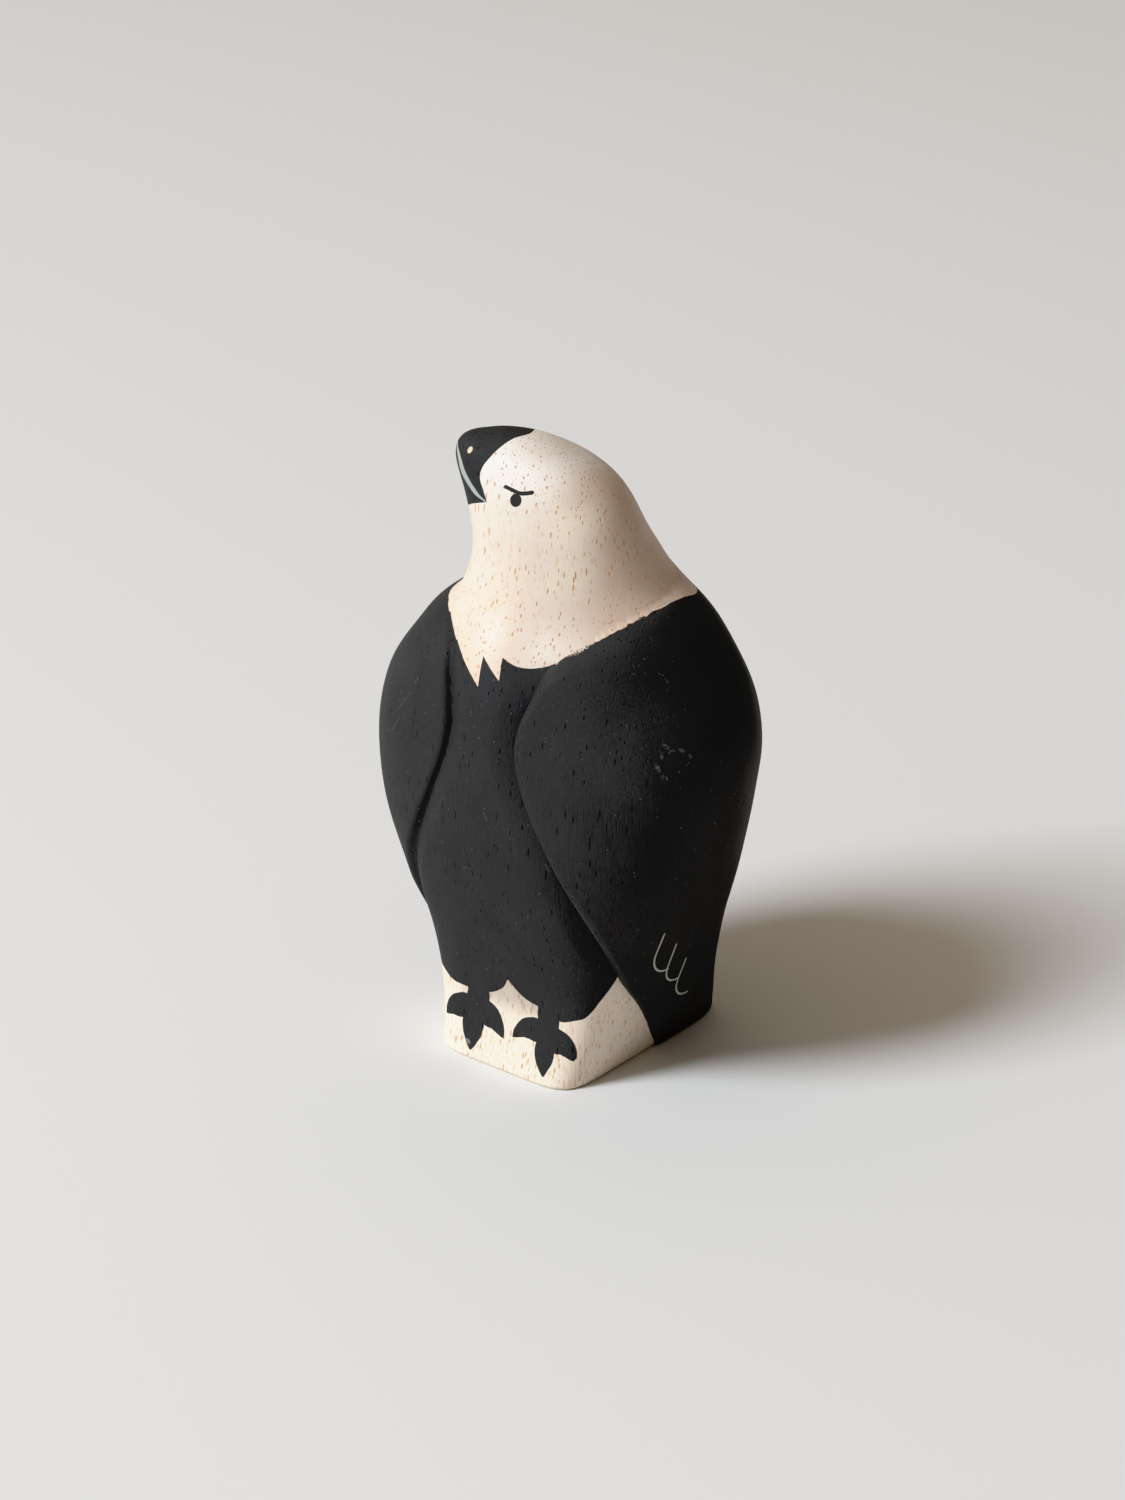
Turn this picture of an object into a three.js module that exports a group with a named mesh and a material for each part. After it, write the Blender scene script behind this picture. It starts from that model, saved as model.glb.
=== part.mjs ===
// A small eagle carved from one piece of pale, light wood, painted on its body, beak and feet.
// Millimetres, +Z up. The origin is the centre of the underside. The bird's breast faces -Y, its left
// wing is on +X, and its head is turned to its right, towards -X.
//
// The carving is worked out as level sections, one above the other. Each section is a superellipse
// whose half width, reach to the front, reach to the back and squareness follow smooth lines up the
// height, as a carver's templates do. The wings are the same sections with a wider half width, and
// they stand proud of the breast from a line where their front edge is rounded over.

import * as THREE from 'three';

// Overall sizes
const HEIGHT = 80;
const CROWN = 12; // the crown is rounded over this much of the height
const RIDGE = 1.45; // above 1, the crown narrows to a soft ridge as it closes
const SPINE_FORWARD = 1.5; // the sections turn about a line this far in front of the origin
const FOOT_ROUND = 0.6; // rounding of the bottom edge

// The head: how far it is turned, and how much narrower it is at the beak than at the nape
const HEAD_TURN = 50; // degrees, towards the bird's right
const TURN_FROM = 45;
const TURN_TO = 67;
const BEAK_TAPER = 0.28;
const TAPER_FROM = 60;

// The wings: where they run out on the neck, and the carving along their front edge
const WINGS_FADE_FROM = 55; // above this height the wings give way to the turned neck
const WINGS_END_AT_BREAST = 60.5;
const WINGS_END_AT_NAPE = 64;
const NAPE_FROM = 32; // degrees round from the turned breast
const NAPE_TO = 90;
const EDGE_ROUND = 1.4; // the front edge rounds over within this distance
const SHOULDER_ROUND = 9; // the same along the shoulder, where the edge runs almost level
const SHOULDER_FROM = 54;
const SHOULDER_TO = 60;

// The neck flares out to meet the wings: the share of their stand-off that it takes up, the heights
// between which it comes to that, and the degrees round from the breast line between which it does
const NECK_FLARE = 0.88;
const NECK_FLARE_HEIGHTS = [48, 57];
const NECK_FLARE_ANGLES = [8, 62];

// The breast is cut back along the wings' front edges
const CREASE_DEPTH = 0.8;
const RIGHT_CREASE_SHARE = 0.5; // the right wing's is shallower
const CREASE_WIDTH = 4.5;
const CREASE_BEND = 1.4; // 1 is a flat cut with a ridge where it starts, more is a hollow one
const CREASE_FROM = 2;
const CREASE_FULL = 14;
const LEFT_CREASE_FADE = [46, 57];
const RIGHT_CREASE_FADE = [56, 62];

// Template lines: height, then the size there in millimetres
const FRONT_REACH = [
  [0, 14.5], [9, 13.3], [18, 15.3], [28, 18.2], [38, 19.1], [48, 18.1],
  [56, 16], [60, 13.4], [64, 12], [68, 12], [74, 14.5], [80, 21],
];
const BACK_REACH = [
  [0, 17.6], [9, 16], [18, 16.2], [28, 16.8], [38, 17.2], [48, 18],
  [56, 16.4], [60, 13.6], [64, 11.1], [68, 8.8], [74, 6.4], [80, 2.3],
];
const BODY_HALF_WIDTH = [
  [0, 11.1], [9, 13.5], [18, 15.8], [30, 17.8], [46, 14.6], [56, 12.3], [64, 10.4], [80, 8],
];
const WING_HALF_WIDTH = [
  [0, 11.6], [9, 14.7], [18, 17.9], [28, 21.6], [38, 24.2], [48, 23.6], [56, 18], [60, 15.6], [64, 13.5],
];

// Squareness: 2 is an ellipse, larger is closer to a rectangle
const BODY_SQUARENESS = [[0, 6], [9, 4.5], [18, 3.4], [30, 2.9], [46, 2.1], [60, 2.1], [80, 2.4]];
const WING_SQUARENESS = [[0, 6], [9, 4], [18, 3], [28, 2.6], [38, 2.4], [48, 2.2], [64, 2.1]];

// Front edge of the wings: height, then degrees round from the breast line. It rises along the breast
// and then runs back round the shoulders.
const WING_EDGE = [
  [0, 102], [9, 73], [18, 55], [28, 39.5], [38, 25], [45, 17.3], [49, 18.2], [53, 23.5], [56, 31.5],
  [58, 46.5], [59.2, 59], [60.2, 79], [61.2, 108], [64, 180],
];

// How many degrees further than the left wing the right one reaches over the breast
const RIGHT_WING_FORWARD = [[0, 0], [22, 0], [30, 1], [38, 1.7], [45, 1], [49, 1.6], [54, 3.4], [60, 3.4]];

// Facets: columns across the breast and round each wing, rings up the body and over the crown
const BREAST_COLUMNS = 28;
const WING_COLUMNS = 20;
const BODY_RINGS = 54;
const CROWN_RINGS = 12;
const EDGE_CROWDING = 1.25; // above 1, columns stand closer together at the wings' front edges

// The columns follow the edge no further round than this, in degrees: at the flanks, and at the shoulders
const FLANK_LIMIT = 76;
const SHOULDER_LIMIT = 50;
const FLANK_TOP = 40; // height

const PAINT = { color: 0x2b2b2d, roughness: 0.75, metalness: 0 };

const radians = THREE.MathUtils.degToRad;
const { clamp, smoothstep } = THREE.MathUtils;

// A natural cubic spline through [height, value] pairs
function throughPoints(pairs) {
  const last = pairs.length - 1;
  const z = pairs.map((pair) => pair[0]);
  const y = pairs.map((pair) => pair[1]);
  const bend = new Array(pairs.length).fill(0);
  const carry = new Array(pairs.length).fill(0);
  for (let i = 1; i < last; i += 1) {
    const below = z[i] - z[i - 1];
    const above = z[i + 1] - z[i];
    const pivot = 2 * (below + above) - below * carry[i - 1];
    const kink = (y[i + 1] - y[i]) / above - (y[i] - y[i - 1]) / below;
    carry[i] = above / pivot;
    bend[i] = (6 * kink - below * bend[i - 1]) / pivot;
  }
  for (let i = last - 1; i > 0; i -= 1) {
    bend[i] -= carry[i] * bend[i + 1];
  }
  return (height) => {
    const at = clamp(height, z[0], z[last]);
    let i = 0;
    while (i < last - 1 && at > z[i + 1]) {
      i += 1;
    }
    const span = z[i + 1] - z[i];
    const upper = (at - z[i]) / span;
    const lower = 1 - upper;
    const bow = (lower ** 3 - lower) * bend[i] + (upper ** 3 - upper) * bend[i + 1];
    return lower * y[i] + upper * y[i + 1] + (bow * span * span) / 6;
  };
}

const frontReach = throughPoints(FRONT_REACH);
const backReach = throughPoints(BACK_REACH);
const bodyHalfWidth = throughPoints(BODY_HALF_WIDTH);
const wingHalfWidth = throughPoints(WING_HALF_WIDTH);
const bodySquareness = throughPoints(BODY_SQUARENESS);
const wingSquareness = throughPoints(WING_SQUARENESS);
const wingEdge = throughPoints(WING_EDGE);
const rightWingForward = throughPoints(RIGHT_WING_FORWARD);

// Distance from a superellipse's centre to its edge, for an angle from the facing direction
function superellipse(angle, halfWidth, halfDepth, squareness, taper) {
  const width = halfWidth * (1 - taper * Math.cos(angle));
  const across = Math.abs(Math.sin(angle) / width) ** squareness;
  const along = Math.abs(Math.cos(angle) / halfDepth) ** squareness;
  return (across + along) ** (-1 / squareness);
}

// The level section at a height, as a function from an angle to a point. The angle is measured
// from the breast, which faces -Y, and grows towards the bird's left.
function sectionAt(height) {
  const rise = clamp((height - (HEIGHT - CROWN)) / CROWN, 0, 1);
  const closing = Math.sqrt(1 - rise * rise);
  const halfDepth = ((frontReach(height) + backReach(height)) / 2) * closing;
  const forward = (frontReach(height) - backReach(height)) / 2;
  const halfWidth = bodyHalfWidth(height) * closing ** RIDGE;
  const squareness = bodySquareness(height);
  const turn = radians(HEAD_TURN) * smoothstep(height, TURN_FROM, TURN_TO);
  const taper = BEAK_TAPER * smoothstep(height, TAPER_FROM, HEIGHT);
  const edge = radians(wingEdge(height));
  const edgeRound = EDGE_ROUND + (SHOULDER_ROUND - EDGE_ROUND) * smoothstep(height, SHOULDER_FROM, SHOULDER_TO);
  const rightForward = radians(rightWingForward(height));
  const crease = CREASE_DEPTH * smoothstep(height, CREASE_FROM, CREASE_FULL);
  const leftCrease = crease * (1 - smoothstep(height, ...LEFT_CREASE_FADE));
  const rightCrease = crease * RIGHT_CREASE_SHARE * (1 - smoothstep(height, ...RIGHT_CREASE_FADE));
  const flare = NECK_FLARE * smoothstep(height, ...NECK_FLARE_HEIGHTS);
  const lift = clamp(1 - height / FOOT_ROUND, 0, 1);
  const inset = FOOT_ROUND * (1 - Math.sqrt(1 - lift * lift));

  return (angle) => {
    const facing = angle + turn;
    const body = superellipse(facing, halfWidth, halfDepth, squareness, taper);
    const wing = superellipse(angle, wingHalfWidth(height), halfDepth, wingSquareness(height), 0);
    const nape = smoothstep(-Math.cos(facing), -Math.cos(radians(NAPE_FROM)), -Math.cos(radians(NAPE_TO)));
    const wingsEnd = WINGS_END_AT_BREAST + (WINGS_END_AT_NAPE - WINGS_END_AT_BREAST) * nape;
    const hold = 1 - smoothstep(height, WINGS_FADE_FROM, wingsEnd);

    // Distance beyond the wing's front edge, in radians
    const past = Math.abs(angle) - edge + (angle < 0 ? rightForward : 0);
    const near = clamp(1 + Math.min(past, 0) * (body / CREASE_WIDTH), 0, 1);
    let radius = body - (angle > 0 ? leftCrease : rightCrease) * near ** CREASE_BEND;
    radius += (wing - radius) * flare * smoothstep(Math.abs(angle), ...NECK_FLARE_ANGLES.map(radians)) * hold;
    const across = clamp((past * wing) / edgeRound, 0, 1);
    radius += (wing - radius) * Math.sqrt(1 - (1 - across) ** 3) * hold;
    radius -= inset;
    return [
      radius * Math.sin(angle) - forward * Math.sin(turn),
      -SPINE_FORWARD - radius * Math.cos(angle) - forward * Math.cos(turn),
      height,
    ];
  };
}

// Angles of the columns at a height, from minus half a turn to half a turn: they follow the wings'
// front edges, and stand closer there
function columnAngles(height) {
  const limit = height < FLANK_TOP ? FLANK_LIMIT : SHOULDER_LIMIT;
  const edge = radians(Math.min(wingEdge(height), limit));
  const angles = [];
  for (let i = 0; i < BREAST_COLUMNS; i += 1) {
    const across = (2 * i) / BREAST_COLUMNS - 1;
    angles.push(edge * Math.sign(across) * (1 - (1 - Math.abs(across)) ** EDGE_CROWDING));
  }
  for (let i = 0; i < 2 * WING_COLUMNS; i += 1) {
    const around = i / WING_COLUMNS - 1; // -1 and 1 are the front edges, 0 is the middle of the back
    const out = 1 - (1 - Math.abs(around)) ** EDGE_CROWDING;
    const angle = Math.PI + Math.sign(around) * out * (Math.PI - edge);
    angles.push(angle > Math.PI ? angle - 2 * Math.PI : angle);
  }
  return angles;
}

// Heights of the rings: even up the body, and crowded over the crown as its slope flattens
function ringHeights() {
  const heights = [0, FOOT_ROUND * 0.12, FOOT_ROUND * 0.45, FOOT_ROUND];
  const body = HEIGHT - CROWN - FOOT_ROUND;
  for (let i = 1; i < BODY_RINGS; i += 1) {
    heights.push(FOOT_ROUND + (body * i) / BODY_RINGS);
  }
  for (let i = 0; i < CROWN_RINGS; i += 1) {
    heights.push(HEIGHT - CROWN + CROWN * Math.sin((Math.PI / 2) * (i / CROWN_RINGS)));
  }
  return heights;
}

// The point on the crown that the closing sections shrink to
function crownPoint() {
  const forward = (frontReach(HEIGHT) - backReach(HEIGHT)) / 2;
  const turn = radians(HEAD_TURN);
  return [-forward * Math.sin(turn), -SPINE_FORWARD - forward * Math.cos(turn), HEIGHT];
}

function apart(one, other) {
  return Math.hypot(one[0] - other[0], one[1] - other[1], one[2] - other[2]);
}

// One closed skin: the underside as a fan, bands of facets between the rings, and a fan on the crown.
// Each facet of a band is split along its shorter diagonal, so that none bridges a wing's edge.
function carvingGeometry() {
  const heights = ringHeights();
  const columns = BREAST_COLUMNS + 2 * WING_COLUMNS;
  const points = [];
  const faces = [];
  heights.forEach((height) => {
    const section = sectionAt(height);
    columnAngles(height).forEach((angle) => points.push(section(angle)));
  });
  const underside = points.push([0, 0, 0]) - 1;
  const crown = points.push(crownPoint()) - 1;
  for (let column = 0; column < columns; column += 1) {
    const next = (column + 1) % columns;
    const top = (heights.length - 1) * columns;
    faces.push(underside, next, column);
    faces.push(crown, top + column, top + next);
    for (let ring = 0; ring < heights.length - 1; ring += 1) {
      const low = ring * columns;
      const high = low + columns;
      const rising = apart(points[low + column], points[high + next]);
      const falling = apart(points[low + next], points[high + column]);
      if (rising <= falling) {
        faces.push(low + column, low + next, high + next);
        faces.push(low + column, high + next, high + column);
      } else {
        faces.push(low + column, low + next, high + column);
        faces.push(low + next, high + next, high + column);
      }
    }
  }
  const geometry = new THREE.BufferGeometry();
  geometry.setAttribute('position', new THREE.Float32BufferAttribute(points.flat(), 3));
  geometry.setIndex(faces);
  geometry.computeVertexNormals();
  return geometry;
}

const carving = new THREE.Mesh(carvingGeometry(), new THREE.MeshStandardMaterial(PAINT));
carving.name = 'eagle_carving';

const eagle = new THREE.Group();
eagle.add(carving);

export default eagle;
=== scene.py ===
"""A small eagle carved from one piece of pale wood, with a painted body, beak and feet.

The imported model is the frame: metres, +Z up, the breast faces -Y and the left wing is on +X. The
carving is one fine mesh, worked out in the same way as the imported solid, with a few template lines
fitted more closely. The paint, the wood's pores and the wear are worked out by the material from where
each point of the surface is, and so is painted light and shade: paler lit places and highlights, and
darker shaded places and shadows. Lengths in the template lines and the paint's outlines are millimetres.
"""

import bpy
import numpy as np
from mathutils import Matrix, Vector


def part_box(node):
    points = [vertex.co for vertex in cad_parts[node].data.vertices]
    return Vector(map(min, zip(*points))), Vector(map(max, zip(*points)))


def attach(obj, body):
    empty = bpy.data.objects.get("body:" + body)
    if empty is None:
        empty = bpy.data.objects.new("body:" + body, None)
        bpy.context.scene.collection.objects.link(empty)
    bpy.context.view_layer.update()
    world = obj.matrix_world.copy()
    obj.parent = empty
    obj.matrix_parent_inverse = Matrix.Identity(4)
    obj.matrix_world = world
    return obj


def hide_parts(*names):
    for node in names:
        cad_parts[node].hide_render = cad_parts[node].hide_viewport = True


bl_info = {
    "name": "Wooden Eagle Carving",
    "version": (1, 0, 0),
    "blender": (4, 5, 0),
    "location": "View3D > Sidebar > Eagle",
    "description": "Builds a small painted eagle carving and the studio it stands in",
    "category": "Add Mesh",
}

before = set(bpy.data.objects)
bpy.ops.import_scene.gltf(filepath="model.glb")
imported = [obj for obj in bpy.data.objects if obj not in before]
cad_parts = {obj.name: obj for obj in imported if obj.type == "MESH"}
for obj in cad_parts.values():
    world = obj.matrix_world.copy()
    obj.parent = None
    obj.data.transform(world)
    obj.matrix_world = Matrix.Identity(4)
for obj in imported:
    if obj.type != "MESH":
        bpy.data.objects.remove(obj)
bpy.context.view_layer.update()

MM = 0.001
NODE = "eagle_carving"
PIECE = "eagle_carving_fine"
WING_LAYER = "wing"

# Template lines of the carving: height, then the size there
FRONT_REACH = [
    (0, 14.5), (9, 13.3), (18, 15.3), (28, 18.2), (38, 19.1), (48, 18.1),
    (56, 16), (60, 13.4), (64, 12), (68, 12), (74, 14.5), (80, 21),
]
BACK_REACH = [
    (0, 17.6), (9, 16), (18, 16.2), (28, 16.8), (38, 17.2), (48, 18),
    (56, 16.4), (60, 13.6), (64, 11.1), (68, 8.8), (74, 6.4), (80, 2.3),
]
BODY_HALF_WIDTH = [
    (0, 11.1), (9, 13.5), (18, 15.8), (30, 17.8), (46, 14.6), (56, 12.3), (64, 10.4), (80, 8),
]
WING_HALF_WIDTH = [
    (0, 11.6), (9, 14.7), (18, 17.9), (28, 21.6), (38, 24.2), (48, 23.6), (56, 18), (60, 15.6), (64, 13.5),
]
BODY_SQUARENESS = [(0, 6.8), (9, 4.7), (18, 3.4), (30, 2.9), (46, 2.1), (60, 2.1), (80, 2.4)]
WING_SQUARENESS = [(0, 6), (9, 4), (18, 3), (28, 2.6), (38, 2.4), (48, 2.2), (64, 2.1)]

# Front edge of the wings: height, then degrees round from the breast line, and how many degrees further
# forward the right wing's edge runs
WING_EDGE = [
    (0, 97), (4.5, 82), (9, 69.9), (13.5, 59.3), (18, 52.8), (28, 39.4), (38, 25), (45, 17.3),
    (49, 18.2), (53, 23.5), (56, 31.5), (58, 46.5), (59.2, 59), (60.2, 79), (61.2, 108), (64, 180),
]
RIGHT_WING_FORWARD = [(0, 0), (22, 0.4), (30, 2), (38, 2.9), (45, 2), (49, 2.3), (54, 3.8), (60, 3.6)]

# Largest angle at which the columns crowd, in degrees, below the flank's top and above it
FLANK_LIMIT = 105.0
SHOULDER_LIMIT = 50.0
FLANK_TOP = 40.0

HEIGHT = 80.0
CROWN = 12.0
RIDGE = 1.2
SPINE_FORWARD = 1.5
FOOT_ROUND = 0.6
HEAD_TURN = 50.0
HEAD_TURNS_BETWEEN = (45, 67)
BEAK_TAPER = 0.28
BEAK_TAPERS_BETWEEN = (60, 80)
SHOULDER_BETWEEN = (54, 60)
SHOULDER_ROUND = 9.0
NECK_FLARES_BETWEEN = (48, 57)
NECK_FLARE = 0.88
NECK_FLARE_ANGLES = (8, 62)
NAPE_ANGLES = (32, 90)
WINGS_FADE_FROM = 55.0
WINGS_END_AT_BREAST = 60.5
WINGS_END_AT_NAPE = 64.0
CREASE_BEND = 1.2
RIGHT_CREASE_SHARE = [(0, 0.5), (24, 0.7), (32, 0.9), (41, 0.5), (48, 0.8), (56, 1), (62, 1)]
RIGHT_EDGE_SHARE = 0.6
CREASE_GROWS_BETWEEN = (9, 21)
LEFT_CREASE_FADES_BETWEEN = (42, 57)
RIGHT_CREASE_FADES_BETWEEN = (56, 62)

# Columns and rings of the fine mesh
BREAST_COLUMNS = 124
WING_COLUMNS = 126
BODY_RINGS = 196
CROWN_RINGS = 48
FOOT_RINGS = 6
EDGE_CROWDING = 1.25

# Where the paint's edges run on the head, seen square from the side: height as the photographer saw it,
# which is less the further a point stands out to the side, then the distance ahead of the spine. Rows of
# the brow start with that distance. So do the eye and the nostril, whose height, half width, half height
# and lean in degrees follow.
HEAD_VIEW_UP = 0.9145
HEAD_VIEW_OUT = 0.4045
BEAK_FOOT = 64.22
BEAK_TIP_BETWEEN = (77, 79)
BEAK_TIP_REACH = 2.5
BEAK_BACK = [
    (64.2, 10.06), (65.7, 10.5), (67.1, 10.86), (68.2, 10.6), (69.4, 9.67), (70.55, 8.5),
    (71.75, 6.73), (72.4, 4.95), (73.2, 4.3),
]
MOUTH = [
    (64.3, 10.17), (65.1, 11.15), (66, 11.78), (67.05, 12.41), (68.2, 12.92), (69.6, 13.26), (70.8, 13.5),
]
MOUTH_SLANT = 0.85
MOUTH_HALF_WIDTH = [(64.2, 0.05), (65, 0.18), (66.5, 0.21), (68.5, 0.19), (70, 0.12), (71.2, 0.04)]
BROW = [(4.8, 65.15), (5.56, 65.07), (6.19, 65.1), (6.95, 65.45), (7.83, 65.9)]
BROW_HALF_WIDTH = 0.25
EYE = (6.69, 64.3, 0.67, 0.78, 0)
NOSTRIL = (12.0, 70.4, 0.27, 0.42, 28.65)

# The collar, where bare wood meets the body's paint: degrees round, sheared with height so that the
# two points of bare wood on the breast stay single valued, then height. Its frayed places are degrees
# round and how many degrees they reach.
COLLAR_SHEAR = 0.75
COLLAR_MIDDLE = 54.0
COLLAR = [
    (-180, 58.4), (-130, 58.6), (-90, 58.3), (-75, 58.2), (-66.5, 58.27), (-59.3, 58.33), (-52.5, 58.3),
    (-46.1, 58.18), (-37.7, 57.7), (-27.9, 57.15), (-17.3, 56), (20.6, 54.95), (31, 55.6), (37.1, 56.5),
    (46.8, 57.6), (58, 58.75), (69.2, 59.5), (81.8, 60.1), (96.6, 60.5), (105.6, 60.6), (114.7, 60.4),
    (128.3, 59.55), (155, 58.8), (183.3, 58.4),
]
COLLAR_POINTS_MIDDLE = 5.0
COLLAR_POINTS_REACH = 24.0
COLLAR_POINTS = [
    (-20, 56.4, "AUTO"), (-17.3, 56, "AUTO"), (-8.7, 54.1, "AUTO"), (-2.3, 52.3, "VECTOR"),
    (-1.7, 55.65, "VECTOR"), (6.8, 53.35, "VECTOR"), (7.2, 55.8, "VECTOR"), (13.6, 55.07, "AUTO"),
    (20.6, 54.95, "AUTO"), (31, 55.6, "AUTO"),
]
FRAYS = [(42.0, 6.25), (76.0, 5.0)]

# The lower edge of the breast's paint: degrees round, then height
BREAST_HEM = [
    (-64, 17.4, "VECTOR"), (-58.1, 14.85, "VECTOR"), (-52, 12.6, "AUTO"), (-45.6, 10.6, "AUTO"),
    (-38.8, 9.95, "AUTO"), (-34, 9.4, "AUTO"), (-27.5, 9.3, "AUTO"), (-9.4, 9.8, "AUTO"),
    (-2.9, 10.6, "AUTO"), (1.5, 11.5, "AUTO"), (4.9, 12.85, "VECTOR"), (10.7, 11.45, "AUTO"),
    (15.8, 10.75, "AUTO"), (22.4, 10.3, "AUTO"), (33.5, 9.1, "AUTO"), (39.5, 9.5, "AUTO"),
    (45.6, 10.2, "AUTO"), (52, 12.6, "AUTO"), (58.1, 14.85, "VECTOR"), (64, 17.4, "VECTOR"),
]

# The painted feet, seen square from the front: the middle of each foot, the two sides of its leg, and
# its outline, as distances to the bird's left and heights. They are on what lies this far forward.
FRONT_FACE = 8.0
LEG_TOP = 12.0
RIGHT_FOOT = (-4.5, 6.26)
LEFT_FOOT = (6.37, 6.87)
RIGHT_LEG = (-5.75, -2.2)
LEFT_LEG = (5.45, 8.5)
RIGHT_FOOT_OUTLINE = [
    (-5.93, 8.34), (-7.57, 7.81), (-9.28, 6.38), (-9.85, 5.0), (-9.72, 4.1), (-8.17, 4.69), (-6.51, 4.88),
    (-6.4, 3.86), (-5.85, 2.51), (-4.74, 1.11), (-3.76, 2.54), (-3.14, 4.05), (-2.99, 5.03), (-1.77, 4.93),
    (-0.64, 4.41), (0.24, 4.16), (0.23, 5.12), (-0.17, 6.55), (-1.01, 7.87), (-2.23, 8.51), (-2.21, 9.95),
    (-5.51, 9.44),
]
LEFT_FOOT_OUTLINE = [
    (5.42, 8.59), (4.16, 8.37), (3.12, 7.87), (2.22, 6.89), (1.62, 5.79), (1.54, 4.73), (2.51, 5.1),
    (3.18, 5.4), (4.18, 5.45), (5.29, 5.39), (5.15, 4.3), (5.37, 3.28), (6.03, 2.19), (6.87, 1.25),
    (7.45, 2.37), (7.95, 3.57), (8.05, 4.68), (8.92, 4.75), (9.72, 4.4), (10.32, 3.96), (10.64, 4.4),
    (10.68, 5.22), (10.4, 6.37), (9.8, 7.36), (8.98, 7.89), (8.4, 8.11), (8.52, 9.29), (5.49, 10.19),
]

# Wear on the dark paint: degrees round, height, half length, half width and lean of each rubbed spot
# or scratch. The first rows are a broken ring on the left wing.
SCUFFS = [
    (67.1, 47.85, 0.5, 0.28, -40), (65.5, 46.9, 0.5, 0.2, 70), (68.9, 47.3, 0.45, 0.16, 0),
    (71.6, 47.2, 0.45, 0.28, -30), (73.8, 46.3, 0.5, 0.32, -60), (72.6, 45.6, 0.4, 0.14, 40),
    (63.8, 45.6, 0.62, 0.3, -70), (65.6, 44.4, 0.6, 0.26, -40), (69.9, 44.9, 0.14, 0.14, 0),
    (72.6, 54.95, 0.5, 0.11, -30), (73.9, 54.2, 0.45, 0.12, -60), (73, 53.3, 0.2, 0.2, 0),
    (95.3, 46.5, 0.6, 0.14, 40), (63, 56.2, 0.16, 0.16, 0), (79.4, 55.9, 0.16, 0.12, 0),
    (54.8, 50.7, 0.14, 0.14, 0), (56.8, 50.1, 0.16, 0.12, 0), (105.6, 58.1, 0.2, 0.2, 0),
    (94.3, 16.7, 0.8, 0.1, -15), (96, 16.2, 0.45, 0.1, 70), (115.5, 12.4, 0.2, 0.16, 0),
    (-39.5, 46.6, 2.6, 0.09, 56), (-41.8, 43.4, 2, 0.08, 62), (-35, 49.8, 0.9, 0.12, 60),
    (6.6, 37, 0.8, 0.1, -65), (30.3, 31.8, 0.8, 0.1, -60), (-6, 28.6, 1.1, 0.08, 35),
]
SCUFF_RADIUS = 21.5

# Soiled spots on the neck, in the same order, the chip in the right foot's middle toe, as distance to
# the left, height, half length, half width and lean, and the degrees between which sanding lines run
# beside the collar
SMUDGES = [(53.3, 66.8, 0.55, 0.4, 50), (88, 60.9, 0.5, 0.2, 25)]
SMUDGE_RADIUS = 10.5
TOE_CHIP = (-5.25, 2.15, 0.45, 0.34, -20)
SANDED_BETWEEN = (82, 106)

# How warm the bare wood is low on the neck in front, and how much painted highlight pales the crown in front:
# # height, then share of the warm colour or of the highlight's pale colour
WARM_NECK = [
    (0, 0.15), (14, 0.15), (50, 1), (54.5, 0.9), (57, 0.65), (61, 0.5), (64, 0.35), (67, 0.15), (70, 0),
    (80, 0),
]
CROWN_HIGHLIGHT = [(70, 0), (72.5, 0.1), (75, 0.8), (77, 0.9), (78.2, 0.5), (79, 0.9), (80, 1)]

# Bare wood is the base's below the first height, and the neck's above the second
BASE_TOP = 20.0
NECK_FOOT = 30.0

# Sizes of the textures' cells along X, Y and Z, first the bare wood's and then the dark paint's, and how
# far the grain, the brush's streaks and the paint itself stand out
OPEN_PORE_CELL = (0.45, 0.45, 2.5)
FINE_PORE_CELL = (0.38, 0.38, 2.6)
GRAIN_CELL = (0.35, 0.35, 9.0)
LINE_CELL = (0.22, 0.22, 8.0)
CLOUD_CELL = (7.0, 7.0, 14.0)
STREAK_CELL = (0.16, 0.16, 3.0)
SPECKLE_CELL = (0.22, 0.22, 0.3)
PATCH_CELL = (5.0, 5.0, 8.0)
DUST_CELL = (0.7, 0.7, 0.7)
GRAIN_RELIEF = 0.006
STREAK_RELIEF = 0.003
PAINT_THICKNESS = 0.02

# How the picture's tones follow the light: a soft toe deepens the blacks, and a shoulder keeps the
# brightest wood from whitening out. Between them they follow the light nearly as it is.
TONES = [
    (0.012, 0.0045), (0.0235, 0.0076), (0.0317, 0.0238), (0.045, 0.0385), (0.08, 0.078), (0.2, 0.2),
    (0.66, 0.66), (0.85, 0.84), (1.0, 0.925), (1.25, 1.0),
]

# The three hooked feather marks on each wing: distance back and height of each one's top
FEATHER_MARKS = [(-7.1, 21.4), (-3.6, 18.4), (0.24, 14.5)]
MARK_DROP = 3.15
MARK_TURN = 3.75
MARK_HALF_WIDTH = 0.12


def through(line, height):
    """Natural cubic spline through rows of height and size. Between two rows the size is their straight
    blend plus a bow, which grows with the curvature at both rows, and the first and last rows have none."""
    rows, sizes = np.array(line, float).T
    span = np.diff(rows)
    inner = np.arange(1, len(rows) - 1)
    system = np.eye(len(rows))
    system[inner, inner - 1] = span[:-1]
    system[inner, inner] = 2 * (span[:-1] + span[1:])
    system[inner, inner + 1] = span[1:]
    kinks = np.zeros(len(rows))
    kinks[1:-1] = 6 * np.diff(np.diff(sizes) / span)
    bend = np.linalg.solve(system, kinks)
    at = np.clip(height, rows[0], rows[-1])
    low = np.clip(np.searchsorted(rows, at, side="right") - 1, 0, len(rows) - 2)
    upper = (at - rows[low]) / span[low]
    lower = 1 - upper
    bow = (lower**3 - lower) * bend[low] + (upper**3 - upper) * bend[low + 1]
    return lower * sizes[low] + upper * sizes[low + 1] + bow * span[low] ** 2 / 6


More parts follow.
